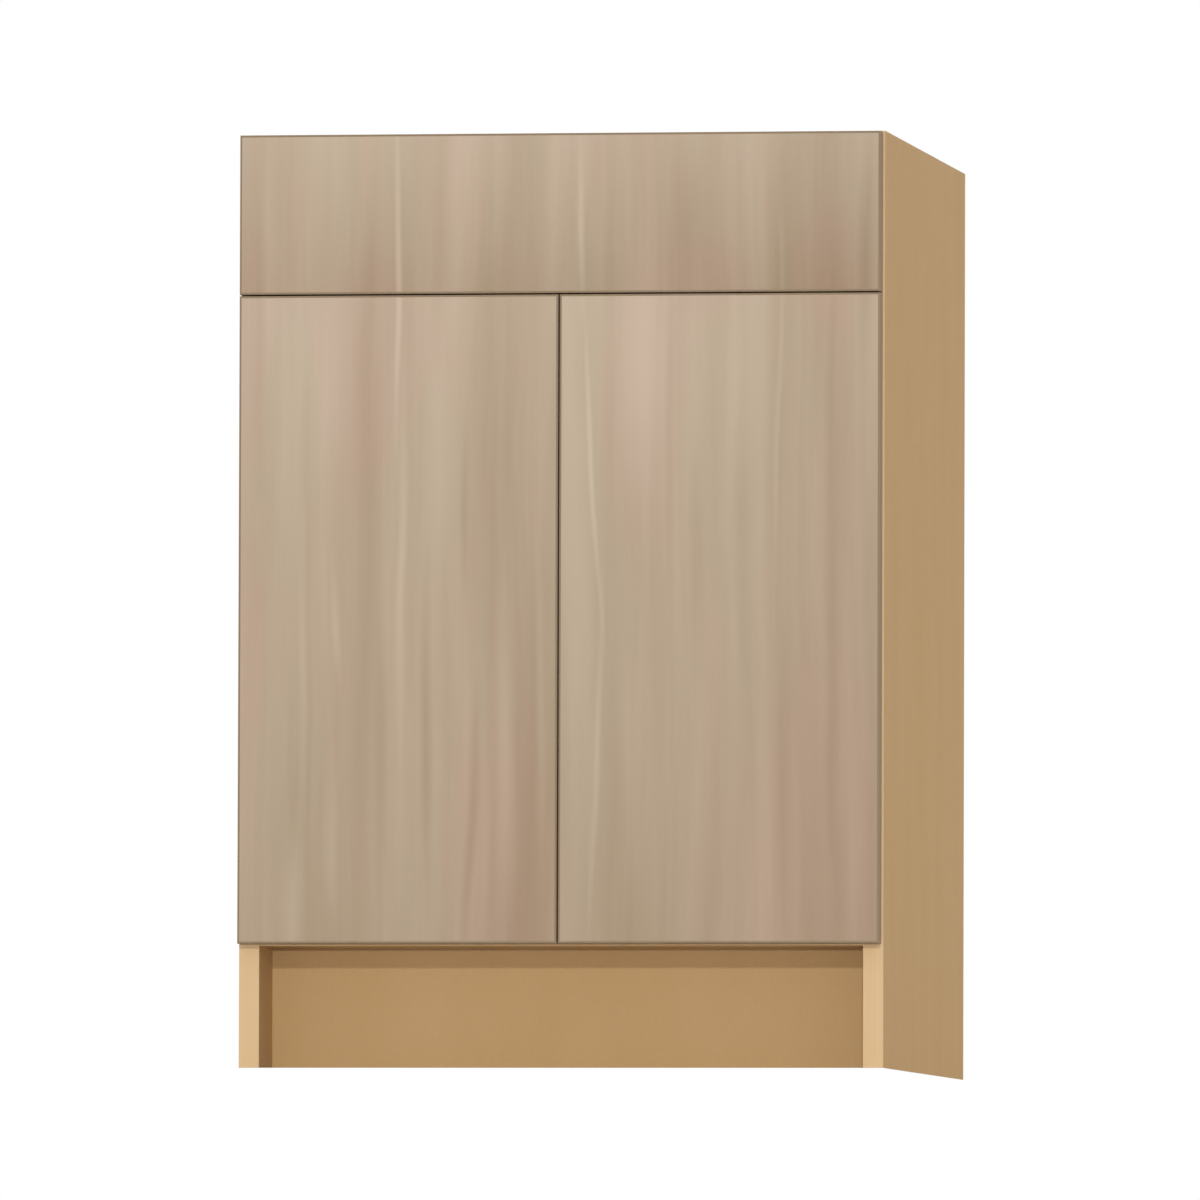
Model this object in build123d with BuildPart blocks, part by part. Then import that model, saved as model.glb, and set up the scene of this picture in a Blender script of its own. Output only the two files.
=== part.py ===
from build123d import *
import cmath
import os
from math import radians, sqrt

# Frameless kitchen base cabinet: one full-width drawer over a pair of doors, with no handles.
# +X is to the right seen from the front, +Y towards the wall and +Z up. The origin lies on the floor
# under the middle of the cabinet. Sizes are millimetres.

INCH = 25.4

# Cabinet over all; the depth runs from the faces of the fronts to the wall
cabinet_width = 24 * INCH
cabinet_height = 34.5 * INCH
cabinet_depth = 24 * INCH

# Carcass boards
board = 0.75 * INCH
case_band = 1.0
toe_height = 4.5 * INCH
toe_recess = 3 * INCH
stretcher_depth = 100.0
divider_depth = 100.0
nailer_height = 100.0
back_thickness = 0.25 * INCH
back_groove = 8.0
groove_play = 0.2
dado_depth = 0.25 * INCH
worktop_screw_radius = 2.5
worktop_screw_spacing = 300.0

# Fronts
front_thickness = 0.75 * INCH
front_band = 2.0
front_band_round = 1.0
reveal = 1.5
front_gap = 1.2
bumper_gap = 2.0
bumper_width = 7.0
bumper_play = 0.3
bumper_inset = 12.0
drawer_front_height = 150.0

# Adjustable shelf on pins in rows of holes
shelf_setback = 20.0
shelf_back_play = 3.0
shelf_side_play = 1.0
pin_radius = 2.5
pin_in_side = 8.0
pin_play = 0.1
pin_end_play = 1.0
pin_reach = 9.0
pin_tongue = 7.0
pin_pitch = 32.0
pin_rows = 3
pin_column_setback = 37.0
pin_column_spacing = 416.0

# Drawer box
drawer_board = 0.5 * INCH
drawer_height = 100.0
drawer_floor_gap = 12.0
drawer_bottom_thickness = 0.25 * INCH
drawer_bottom_lift = 12.0
drawer_groove = 6.0
tail_count = 3
tail_width = 24.0
tail_slope = 6.0

# Ball-bearing drawer slides, left and right
slide_thickness = 0.5 * INCH
slide_setback = 3.0
slide_back_gap = 60.15
slide_overlap = 20.0
slide_half_height = 22.8
slide_steel = 1.2
slide_flange = 1.6
slide_outer_reach = 9.5
slide_middle_reach = 11.0
slide_inner_reach = 6.7
ball_radius = 1.8
ball_play = 0.15
ball_groove = 0.6
outer_row_offset = 5.2
inner_row_offset = 8.8
cage_steel = 0.8
cage_gap = 0.35
cage_lip = 2.0
cage_length = 200.0
cage_margin = 30.0

# Concealed hinges: two to a door. Their points are given across the cabinet and back towards the wall, from
# the middle of the cup's mouth, or on the arm from the side's inner face at the carcass's front edge. The links
# lie in two layers; the cheeks of the arm and the ears of the cup lie above and below both.
hinge_inset = 90.0
door_opening = radians(100)
cup_radius = 17.5
cup_depth = 12.5
cup_wall = 0.7
cup_edge = 5.0
cup_play = 0.1
cup_screw_spacing = 45.0
cup_screw_offset = 9.5
flange_thickness = 1.0
flange_rim = 1.5
flange_ear_radius = 6.0
front_cup_across = -11.1
front_cup_back = -7.9
rear_cup_across = -12.3
rear_cup_back = -3.1
front_knee_across = 0.0
front_knee_back = -10.0
rear_knee_across = -8.0
rear_knee_back = -8.5
front_arm_across = 17.15
front_arm_back = 1.6
front_link_share = -0.227
rear_link_share = -0.346
front_link_width = 2.3
rear_link_width = 4.6
link_eye_radius = 2.4
hinge_pin_radius = 1.2
hinge_pin_play = 0.3
hinge_pin_sides = 12
swing_stops = 20
link_thickness = 3.8
link_play = 0.4
cheek_steel = 1.8
cup_ear_length = 8.5
arm_steel = 1.4
arm_nose_height = 23.0
arm_nose_gap = 0.8
arm_tail_height = 15.0
arm_cheek_drop = 9.0
arm_crank_start = 12.0
arm_crank_end = 22.0
arm_length = 66.0
plate_setback = 37.0
plate_wing = 3.0
plate_wing_width = 14.0
plate_wing_height = 50.0
plate_length = 38.0
plate_play = 0.3

LEFT = (-1, 0, 0)
RIGHT = (1, 0, 0)
FRONT = (0, -1, 0)
UP = (0, 0, 1)

# Places across and along the depth
half_width = cabinet_width / 2
inner_half = half_width - board
front_y = -cabinet_depth / 2
front_back_y = front_y + front_thickness
case_front_y = front_back_y + bumper_gap
core_front_y = case_front_y + case_band
wall_y = cabinet_depth / 2
back_y = (wall_y - board - back_thickness, wall_y - board)
toe_y = case_front_y + toe_recess

# Heights
bottom_z = (toe_height, toe_height + board)
stretcher_z = (cabinet_height - board, cabinet_height)
fronts_z = (toe_height + reveal, cabinet_height - reveal)
drawer_front_z = (fronts_z[1] - drawer_front_height, fronts_z[1])
door_z = (fronts_z[0], drawer_front_z[0] - front_gap)
divider_middle = drawer_front_z[0] - front_gap / 2
divider_z = (divider_middle - board / 2, divider_middle + board / 2)
drawer_z = (divider_z[1] + drawer_floor_gap, divider_z[1] + drawer_floor_gap + drawer_height)

# Doors
door_x = (-half_width + reveal, -front_gap / 2)
right_door_x = (-door_x[1], -door_x[0])
hinge_heights = (door_z[0] + hinge_inset, door_z[1] - hinge_inset)

# Depth and height of the boards that run between the sides
BOARDS = {
    "bottom_panel": ((core_front_y, back_y[0]), bottom_z),
    "front_stretcher": ((core_front_y, core_front_y + stretcher_depth), stretcher_z),
    "rear_stretcher": ((back_y[0] - stretcher_depth, back_y[0]), stretcher_z),
    "drawer_divider_rail": ((core_front_y, core_front_y + divider_depth), divider_z),
    "toe_kick_board": ((toe_y, toe_y + board), (0, toe_height)),
    "lower_nailer": ((back_y[1], wall_y), (toe_height, toe_height + nailer_height)),
    "upper_nailer": ((back_y[1], wall_y), (cabinet_height - nailer_height, cabinet_height)),
}
BASE = (Align.CENTER, Align.CENTER, Align.MIN)


def middle(span):
    """The middle of a pair of limits."""
    return (span[0] + span[1]) / 2


def inset(span, amount):
    """A pair of limits moved towards each other."""
    return (span[0] + amount, span[1] - amount)


def slab(x, y, z, mode=Mode.ADD):
    """A box between pairs of limits."""
    with Locations((middle(x), middle(y), middle(z))):
        Box(x[1] - x[0], y[1] - y[0], z[1] - z[0], mode=mode)


def rod(point, direction, radius, length, mode=Mode.ADD):
    """A round bar that starts at a point."""
    with Locations(Plane(point, z_dir=direction)):
        Cylinder(radius, length, align=BASE, mode=mode)


def panel(across, up, mode=Mode.ADD):
    """A rectangle between pairs of limits, in a sketch."""
    with Locations((middle(across), middle(up))):
        Rectangle(across[1] - across[0], up[1] - up[0], mode=mode)


def save(piece, name):
    """Label a finished piece and write it."""
    piece.part.label = name
    export_step(piece.part, f"parts/{name}.step")


def mirrored(piece):
    """The right-hand copy of a left-hand piece."""
    with BuildPart() as copy:
        mirror(piece.part, about=Plane.YZ)
    return copy


def shelf_holes():
    """Depth and height of the shelf pin holes in one side, centred on the door opening."""
    columns = (case_front_y + pin_column_setback, case_front_y + pin_column_setback + pin_column_spacing)
    centre = (bottom_z[1] + divider_z[0]) / 2
    rows = [centre + (row - (pin_rows - 1) / 2) * pin_pitch for row in range(pin_rows)]
    return [(y, z) for y in columns for z in rows]


def shelf_pin_points():
    """The two holes in one side that carry the shelf, in the middle row."""
    heights = sorted({z for y, z in shelf_holes()})
    return [(y, z) for y, z in shelf_holes() if z == heights[len(heights) // 2]]


def side_panel():
    """Left side: a full board down to the floor, housed for the other boards and drilled for the shelf."""
    with BuildPart() as side:
        slab((-half_width, -inner_half), (core_front_y, wall_y), (0, cabinet_height))
        for depth, height in BOARDS.values():
            slab((-inner_half - dado_depth, -inner_half), depth, height, Mode.SUBTRACT)
        groove_x = (-inner_half - back_groove, -inner_half)
        groove_y = (back_y[0] - groove_play, back_y[1])
        slab(groove_x, groove_y, (toe_height, cabinet_height), Mode.SUBTRACT)
        for y, z in shelf_holes():
            hole = pin_in_side + pin_end_play
            rod((-inner_half, y, z), LEFT, pin_radius + pin_play, hole, Mode.SUBTRACT)
    return side


def side_bands():
    """Edge bands on the front edges of both sides."""
    with BuildPart() as bands:
        slab((-half_width, -inner_half), (case_front_y, core_front_y), (0, cabinet_height))
        mirror(about=Plane.YZ)
    return bands


def cross_board(name):
    """A board let into the housings of both sides; the stretchers are drilled for worktop screws."""
    depth, height = BOARDS[name]
    reach = inner_half + dado_depth
    with BuildPart() as cross:
        slab((-reach, reach), depth, height)
        if "stretcher" in name:
            for x in (-worktop_screw_spacing / 2, worktop_screw_spacing / 2):
                rod((x, middle(depth), height[0]), UP, worktop_screw_radius, board, Mode.SUBTRACT)
    return cross


def rail_bands():
    """Edge bands on the front edges of the bottom, the divider rail and the front stretcher."""
    with BuildPart() as bands:
        for height in (bottom_z, divider_z, stretcher_z):
            slab((-inner_half, inner_half), (case_front_y, core_front_y), height)
    return bands


def back_panel():
    """Thin back that slides into the grooves of the sides."""
    reach = inner_half + back_groove - groove_play
    with BuildPart() as back:
        slab((-reach, reach), back_y, (toe_height, cabinet_height))
    return back


def shelf_limits():
    """Limits of the shelf with its band."""
    across = inner_half - shelf_side_play
    low = shelf_pin_points()[0][1] + pin_radius
    return (-across, across), (case_front_y + shelf_setback, back_y[0] - shelf_back_play), (low, low + board)


def shelf():
    """Adjustable shelf board."""
    x, y, z = shelf_limits()
    with BuildPart() as plank:
        slab(x, (y[0] + case_band, y[1]), z)
    return plank


def shelf_band():
    """Edge band on the front of the shelf."""
    x, y, z = shelf_limits()
    with BuildPart() as band:
        slab(x, (y[0], y[0] + case_band), z)
    return band


def shelf_pins():
    """Metal pins with a flat tongue under the shelf."""
    with BuildPart() as pins:
        for y, z in shelf_pin_points():
            rod((-inner_half - pin_in_side, y, z), RIGHT, pin_radius, pin_in_side)
            tongue_y = (y - pin_tongue / 2, y + pin_tongue / 2)
            slab((-inner_half, -inner_half + pin_reach), tongue_y, (z - pin_radius, z + pin_radius))
        mirror(about=Plane.YZ)
    return pins


def front_core(x, z):
    """Core of a front, inside its edge bands."""
    slab(inset(x, front_band), (front_y, front_back_y), inset(z, front_band))


def front_bands(x, z):
    """Four edge bands round a front, softened outside: two uprights with two level strips between them."""
    with BuildPart() as bands:
        slab(x, (front_y, front_back_y), z)
        fillet(bands.faces().filter_by(Axis.Y).edges(), front_band_round)
        slab(inset(x, front_band), (front_y, front_back_y), inset(z, front_band), Mode.SUBTRACT)
        for joint in inset(x, front_band):
            split(bisect_by=Plane.YZ.offset(joint), keep=Keep.BOTH)
    return bands


def bumpers(points):
    """Rubber pads on the back of a front, just clear of the carcass."""
    with BuildPart() as pads:
        for x, z in points:
            half = bumper_width / 2
            slab((x - half, x + half), (front_back_y, case_front_y - bumper_play), (z - half, z + half))
    return pads


def door_panel():
    """Left door core, bored from the back for the hinge cups."""
    with BuildPart() as door:
        front_core(door_x, door_z)
        for height in hinge_heights:
            centre = (-half_width + cup_point.real, front_back_y, height)
            rod(centre, FRONT, cup_radius + cup_play, cup_depth + cup_play, Mode.SUBTRACT)
    return door


def door_bumper_points():
    """Bumpers at the free edge of the left door, against the divider rail and the bottom panel."""
    x = door_x[1] - bumper_inset
    return [(x, (door_z[0] + bottom_z[1]) / 2), (x, (door_z[1] + divider_z[0]) / 2)]


# Hinge points as complex numbers, across from the side's outer face and back from the carcass's front edge
cup_point = complex(reveal + cup_edge + cup_radius, -bumper_gap)
front_cup = cup_point + complex(front_cup_across, front_cup_back)
rear_cup = cup_point + complex(rear_cup_across, rear_cup_back)
front_knee = cup_point + complex(front_knee_across, front_knee_back)
rear_knee = cup_point + complex(rear_knee_across, rear_knee_back)
front_arm = complex(board + front_arm_across, front_arm_back)

# Hinge layers, as heights above the hinge's middle
front_link_layer = (-link_play - link_thickness, -link_play)
rear_link_layer = (link_play, link_play + link_thickness)
cheek_layer = (rear_link_layer[1] + link_play, rear_link_layer[1] + link_play + cheek_steel)


def turned(share, fraction=1.0):
    """Turn of a link, or with a share of 1 of the door, at a fraction of the way open."""
    return cmath.exp(-1j * share * door_opening * fraction)


def moved_front_cup(fraction):
    """Where the front links hold the cup at a fraction of the way open."""
    return front_arm + (front_cup - front_arm) * turned(front_link_share, fraction)


# The rear links' pivot on the arm, placed so that the linkage closes both shut and fully open
rear_cup_open = moved_front_cup(1) + (rear_cup - front_cup) * turned(1)
rear_turn = turned(rear_link_share)
rear_arm = (rear_cup_open - rear_cup * rear_turn) / (1 - rear_turn)


def rear_pin_in_cup(fraction):
    """Where the rear links' front pin stands in the cup at a fraction of the way open."""
    pin = rear_arm + (rear_cup - rear_arm) * turned(rear_link_share, fraction)
    return front_cup + (pin - moved_front_cup(fraction)) / turned(1, fraction)


def flat(point):
    """A hinge point as sketch coordinates."""
    return (point.real, point.imag)


def hinge_planes(start):
    """Level sketch planes of the left hinges at a distance above their middles."""
    return [Plane((-half_width, case_front_y, height + start)) for height in hinge_heights]


def hinge_plates_at(layer, across, back, mode=Mode.ADD):
    """Rectangular plate in a layer of every left hinge, in the current part."""
    with BuildSketch(*hinge_planes(layer[0])) as plates:
        panel(across, back)
    extrude(plates.sketch, amount=layer[1] - layer[0], mode=mode)


def hinge_pin(point, low, high):
    """Pin in every left hinge from one height to another, in the current part."""
    with BuildSketch(*hinge_planes(low)) as ends:
        with Locations(flat(point)):
            RegularPolygon(hinge_pin_radius, hinge_pin_sides)
    extrude(ends.sketch, amount=high - low)


def link_bar(start, knee, end, width):
    """Cranked bar of even width with a mitred knee, in a sketch."""
    first = (knee - start) / abs(knee - start) * 1j
    second = (end - knee) / abs(end - knee) * 1j
    mitre = (first + second) / (1 + (first * second.conjugate()).real)
    edge = [start + first * width / 2, knee + mitre * width / 2, end + second * width / 2]
    other = [end - second * width / 2, knee - mitre * width / 2, start - first * width / 2]
    with BuildLine() as outline:
        Polyline(*[flat(point) for point in edge + other], close=True)
    make_face(outline.edges())


def past(point, other, distance):
    """A point moved away from another one."""
    return point + (point - other) / abs(point - other) * distance


def front_links():
    """Slim links that lie deepest in the cup, with round eyes at both ends."""
    with BuildPart() as links:
        with BuildSketch(*hinge_planes(front_link_layer[0])):
            link_bar(front_cup, front_knee, front_arm, front_link_width)
            with Locations(flat(front_cup), flat(front_arm)):
                Circle(link_eye_radius)
                Circle(hinge_pin_radius + hinge_pin_play, mode=Mode.SUBTRACT)
        extrude(amount=front_link_layer[1] - front_link_layer[0])
    return links


def rear_links():
    """Broad links, each riveted to a short pin that rides in the slot of the cup's upper ear."""
    reach = rear_link_width / 2
    front_end = past(rear_cup, rear_knee, reach)
    rear_end = past(rear_arm, rear_knee, reach)
    with BuildPart() as links:
        with BuildSketch(*hinge_planes(rear_link_layer[0])):
            link_bar(front_end, rear_knee, rear_end, rear_link_width)
            with Locations(flat(rear_arm)):
                Circle(hinge_pin_radius + hinge_pin_play, mode=Mode.SUBTRACT)
        extrude(amount=rear_link_layer[1] - rear_link_layer[0])
        hinge_pin(rear_cup, rear_link_layer[1], cheek_layer[1])
    return links


def cup_planes(offset=0.0):
    """Planes at the hinge cups, off the back of the left door, facing into the door."""
    x = -half_width + cup_point.real
    places = [(x, front_back_y + offset, height) for height in hinge_heights]
    return [Plane(place, x_dir=RIGHT, z_dir=FRONT) for place in places]


def slot_limits():
    """Limits of the slot in the cup's upper ear that clears the rear link's pin over the whole swing."""
    stops = [rear_pin_in_cup(stop / swing_stops) for stop in range(swing_stops + 1)]
    room = hinge_pin_radius + hinge_pin_play
    across = (min(stop.real for stop in stops) - room, max(stop.real for stop in stops) + room)
    back = (min(stop.imag for stop in stops) - room, max(stop.imag for stop in stops) + room)
    return across, back


def hinge_cups():
    """Pressed cups with flanges; inside, a lower ear holds the front pin and an upper ear is slotted."""
    inside, outside = cheek_layer
    floor = -bumper_gap - cup_depth + cup_wall
    ear_edge = cup_point.real - sqrt((cup_radius - cup_wall / 2) ** 2 - outside ** 2)
    ear_limits = (ear_edge, ear_edge + cup_ear_length), (floor - cup_wall / 2, -bumper_gap)
    with BuildPart() as cups:
        with BuildSketch(*cup_planes()):
            Circle(cup_radius)
        extrude(amount=cup_depth)
        with BuildSketch(*cup_planes()):
            Circle(cup_radius + flange_rim)
            with Locations(*[(cup_screw_offset, side * cup_screw_spacing / 2) for side in (-1, 1)]):
                Circle(flange_ear_radius)
            make_hull()
        extrude(amount=-flange_thickness)
        with BuildSketch(*cup_planes(flange_thickness)):
            Circle(cup_radius - cup_wall)
        extrude(amount=flange_thickness + cup_depth - cup_wall, mode=Mode.SUBTRACT)
        hinge_plates_at((-outside, -inside), *ear_limits)
        hinge_plates_at((inside, outside), *ear_limits)
        hinge_plates_at((inside, outside), *slot_limits(), mode=Mode.SUBTRACT)
        hinge_pin(front_cup, -inside, front_link_layer[1])
    return cups


def arm_outline(shift):
    """Side outline of a hinge arm: a high nose at the pivots that cranks down to a low tail."""
    nose = board + arm_nose_height + arm_steel - shift
    tail = board + arm_tail_height + arm_steel - shift
    low = tail - arm_cheek_drop - arm_steel
    throat = front_arm.real - link_eye_radius - shift
    front = -bumper_gap + flange_thickness + arm_nose_gap
    with BuildLine() as outline:
        Polyline(
            (nose, front),
            (nose, arm_crank_start),
            (tail, arm_crank_end),
            (tail, arm_length),
            (low, arm_length),
            (low, arm_crank_end + arm_steel),
            (throat, rear_arm.imag + link_eye_radius),
            (throat, front),
            close=True,
        )
    make_face(outline.edges())


def hinge_arms():
    """Hinge arms: channels open towards the side, whose cheeks hold a pin for each link."""
    inside, outside = cheek_layer
    with BuildPart() as arms:
        with BuildSketch(*hinge_planes(-outside)):
            arm_outline(0)
        extrude(amount=2 * outside)
        with BuildSketch(*hinge_planes(-inside)):
            arm_outline(arm_steel)
        extrude(amount=2 * inside, mode=Mode.SUBTRACT)
        hinge_pin(front_arm, -inside, front_link_layer[1])
        hinge_pin(rear_arm, rear_link_layer[0], inside)
        mirror(about=Plane.YZ)
    return arms


def hinge_plates():
    """Mounting plates on the sides: a winged foot with a block that the arm sits on."""
    foot_x = (-inner_half, -inner_half + plate_wing)
    block_x = (-inner_half, -inner_half + arm_tail_height)
    y = case_front_y + plate_setback
    wing_y = (y - plate_wing_width / 2, y + plate_wing_width / 2)
    with BuildPart() as plates:
        for height in hinge_heights:
            slab(foot_x, wing_y, (height - plate_wing_height / 2, height + plate_wing_height / 2))
            block_z = inset((height - cheek_layer[0], height + cheek_layer[0]), plate_play)
            slab(block_x, (wing_y[0], wing_y[0] + plate_length), block_z)
        mirror(about=Plane.YZ)
    return plates


# Drawer places
drawer_half = inner_half - slide_thickness
drawer_front_x = (-half_width + reveal, half_width - reveal)
slide_y = (case_front_y + slide_setback, back_y[0] - slide_back_gap)
slide_length = slide_y[1] - slide_y[0]
slide_travel = slide_length - slide_overlap
drawer_y = (front_back_y, slide_y[1])
slide_middle = middle(drawer_z)
drawer_bottom_low = drawer_z[0] + drawer_bottom_lift
drawer_bottom_z = (drawer_bottom_low, drawer_bottom_low + drawer_bottom_thickness)


def drawer_front():
    """Core of the drawer front, which is fixed to the front of the box."""
    with BuildPart() as front:
        front_core(drawer_front_x, drawer_front_z)
    return front


def drawer_bumper_points():
    """Bumpers behind the drawer front, against the front edges of the sides."""
    x = half_width - board / 2
    return [(-x, slide_middle), (x, slide_middle)]


def tails(end, inward):
    """Dovetails of a drawer side at one end, in a sketch seen from the side."""
    pitch = drawer_height / tail_count
    wide = tail_width / 2
    narrow = wide - drawer_board / tail_slope
    root = end + inward * drawer_board
    for tail in range(tail_count):
        z = drawer_z[0] + pitch * (tail + 0.5)
        with BuildLine() as outline:
            Polyline((end, z - wide), (root, z - narrow), (root, z + narrow), (end, z + wide), close=True)
        make_face(outline.edges())


def cut_bottom_groove():
    """Groove for the drawer bottom, cut from a board of the box."""
    across = drawer_half - drawer_board + drawer_groove
    height = (drawer_bottom_z[0], drawer_bottom_z[1] + groove_play)
    slab((-across, across), inset(drawer_y, drawer_board - drawer_groove), height, Mode.SUBTRACT)


def drawer_side():
    """Left side of the drawer box, with dovetails at both ends."""
    outer = -drawer_half
    with BuildPart() as side:
        slab((outer, outer + drawer_board), inset(drawer_y, drawer_board), drawer_z)
        with BuildSketch(Plane.YZ.offset(outer)):
            tails(drawer_y[0], 1)
            tails(drawer_y[1], -1)
        extrude(amount=drawer_board)
        cut_bottom_groove()
    return side


def drawer_end(end, inward):
    """Front or back of the drawer box, with the pins between the dovetails at both sides."""
    with BuildPart() as board_end:
        depth = sorted((end, end + inward * drawer_board))
        slab((-drawer_half, drawer_half), depth, drawer_z)
        for outer in (-drawer_half, drawer_half - drawer_board):
            with BuildSketch(Plane.YZ.offset(outer)):
                tails(end, inward)
            extrude(amount=drawer_board, mode=Mode.SUBTRACT)
        cut_bottom_groove()
    return board_end


def drawer_bottom():
    """Drawer bottom, loose in the grooves of the box."""
    across = drawer_half - drawer_board + drawer_groove - groove_play
    depth = inset(drawer_y, drawer_board - drawer_groove + groove_play)
    with BuildPart() as floor:
        slab((-across, across), depth, drawer_bottom_z)
    return floor


# Slide sections: distances in from the cabinet's side, and up from the slide's middle
ball_seat = ball_radius + ball_play
outer_inside = slide_half_height - slide_flange
outer_row = outer_inside + ball_groove - ball_seat
middle_outside = outer_row - ball_seat + ball_groove
middle_inside = middle_outside - slide_flange
inner_row = middle_inside + ball_groove - ball_seat
drawer_outside = inner_row - ball_seat + ball_groove
outer_cage_web = (slide_steel + cage_gap, slide_steel + cage_gap + cage_steel)
middle_web = (outer_cage_web[1] + cage_gap, outer_cage_web[1] + cage_gap + slide_steel)
inner_cage_web = (middle_web[1] + cage_gap, middle_web[1] + cage_gap + cage_steel)
drawer_web = (slide_thickness - slide_steel, slide_thickness)
cage_front = slide_y[0] + slide_travel / 4 + cage_margin


def slide_plane(back):
    """Cross-section plane of the left slide, facing the front."""
    return Plane((-inner_half, back, slide_middle), x_dir=RIGHT, z_dir=FRONT)


def channel(web, flange, outside, inside):
    """C section of a slide member or ball retainer, in a sketch."""
    panel(web, (-outside, outside))
    for limits in ((inside, outside), (-outside, -inside)):
        panel(flange, limits)


def grooves(offset, row):
    """Ball grooves along a slide section, in a sketch."""
    with Locations((offset, row), (offset, -row)):
        Circle(ball_seat, mode=Mode.SUBTRACT)


def cabinet_members():
    """Outer slide members on the sides of the cabinet."""
    with BuildPart() as members:
        with BuildSketch(slide_plane(slide_y[1])):
            channel((0, slide_steel), (0, slide_outer_reach), slide_half_height, outer_inside)
            grooves(outer_row_offset, outer_row)
        extrude(amount=slide_length)
        mirror(about=Plane.YZ)
    return members


def intermediate_members():
    """Middle slide members, which run half as far as the drawer."""
    with BuildPart() as members:
        with BuildSketch(slide_plane(slide_y[1])):
            channel(middle_web, (middle_web[0], slide_middle_reach), middle_outside, middle_inside)
            grooves(outer_row_offset, outer_row)
            grooves(inner_row_offset, inner_row)
        extrude(amount=slide_length)
        mirror(about=Plane.YZ)
    return members


def drawer_members():
    """Inner slide members on the sides of the drawer."""
    with BuildPart() as members:
        with BuildSketch(slide_plane(slide_y[1])):
            flange = (slide_thickness - slide_inner_reach, slide_thickness)
            channel(drawer_web, flange, drawer_outside, drawer_outside - slide_steel)
            grooves(inner_row_offset, inner_row)
        extrude(amount=slide_length)
        mirror(about=Plane.YZ)
    return members


def ball_retainers(web, offset, row):
    """U-shaped strips that carry the ball rows of both slides."""
    with BuildPart() as retainers:
        with BuildSketch(slide_plane(cage_front + cage_length)):
            lips = (web[0], offset + cage_lip)
            channel(web, lips, row + cage_steel / 2, row - cage_steel / 2)
        extrude(amount=cage_length)
        mirror(about=Plane.YZ)
    return retainers


os.makedirs("parts", exist_ok=True)

# Carcass
left_side = side_panel()
save(left_side, "left_side_panel")
save(mirrored(left_side), "right_side_panel")
save(side_bands(), "side_panel_edge_bands")
for board_name in BOARDS:
    save(cross_board(board_name), board_name)
save(rail_bands(), "rail_edge_bands")
save(back_panel(), "back_panel")
save(shelf(), "adjustable_shelf")
save(shelf_band(), "shelf_edge_band")
save(shelf_pins(), "shelf_pins")

# Doors and hinges
left_pieces = {
    "door_panel": door_panel(),
    "door_bumpers": bumpers(door_bumper_points()),
    "hinge_cups": hinge_cups(),
    "hinge_front_links": front_links(),
    "hinge_rear_links": rear_links(),
}
for piece_name, left_piece in left_pieces.items():
    save(left_piece, f"left_{piece_name}")
    save(mirrored(left_piece), f"right_{piece_name}")
save(front_bands(door_x, door_z), "left_door_edge_bands")
save(front_bands(right_door_x, door_z), "right_door_edge_bands")
save(hinge_arms(), "hinge_arms")
save(hinge_plates(), "hinge_plates")

# Drawer and slides
save(drawer_front(), "drawer_front")
save(front_bands(drawer_front_x, drawer_front_z), "drawer_front_edge_bands")
save(bumpers(drawer_bumper_points()), "drawer_bumpers")
left_drawer_side = drawer_side()
save(left_drawer_side, "drawer_left_side")
save(mirrored(left_drawer_side), "drawer_right_side")
save(drawer_end(drawer_y[0], 1), "drawer_box_front")
save(drawer_end(drawer_y[1], -1), "drawer_box_back")
save(drawer_bottom(), "drawer_bottom")
save(cabinet_members(), "slide_cabinet_members")
save(intermediate_members(), "slide_intermediate_members")
save(drawer_members(), "slide_drawer_members")
save(ball_retainers(outer_cage_web, outer_row_offset, outer_row), "slide_outer_ball_retainers")
save(ball_retainers(inner_cage_web, inner_row_offset, inner_row), "slide_inner_ball_retainers")
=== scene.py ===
"""Looks of a kitchen base cabinet, one drawer over two doors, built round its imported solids."""

from math import cos, pi, radians, sin

import bmesh
import bpy
from bpy.props import FloatProperty, FloatVectorProperty, PointerProperty
from mathutils import Matrix, Quaternion, Vector


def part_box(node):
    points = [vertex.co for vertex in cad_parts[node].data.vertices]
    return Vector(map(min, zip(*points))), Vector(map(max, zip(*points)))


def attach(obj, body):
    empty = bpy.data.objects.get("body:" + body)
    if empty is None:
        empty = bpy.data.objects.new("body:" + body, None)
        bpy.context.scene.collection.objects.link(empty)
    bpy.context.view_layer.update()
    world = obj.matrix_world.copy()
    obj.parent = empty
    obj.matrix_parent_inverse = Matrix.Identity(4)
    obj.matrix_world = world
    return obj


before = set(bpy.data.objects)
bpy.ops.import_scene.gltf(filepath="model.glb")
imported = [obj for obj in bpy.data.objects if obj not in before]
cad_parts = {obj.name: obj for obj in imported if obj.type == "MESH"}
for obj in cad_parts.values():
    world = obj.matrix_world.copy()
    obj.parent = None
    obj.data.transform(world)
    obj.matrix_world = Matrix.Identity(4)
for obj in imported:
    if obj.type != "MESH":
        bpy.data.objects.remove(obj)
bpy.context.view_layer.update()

bl_info = {
    "name": "Kitchen base cabinet looks",
    "version": (1, 0, 0),
    "blender": (4, 5, 0),
    "location": "3D View > Sidebar > Cabinet",
    "description": "Finishes, screws and studio stage of a kitchen base cabinet",
    "category": "Object",
}

MM = 0.001
X, Y, Z = (1, 0, 0), (0, 1, 0), (0, 0, 1)
WHITE, BLACK = (1, 1, 1, 1), (0, 0, 0, 1)
SIDES = {"left": -1, "right": 1}
# A size so great, in millimetres or metres, that a pattern hardly changes along it
ENDLESS = 1000
# Screws of the slides, in millimetres behind a slide's front or ahead of its rear end
DRAWER_SCREWS = (35, 125, 215, 430)
CASE_SCREW_FRONT = 14
CASE_SCREWS_REAR = (110, 30)


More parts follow.
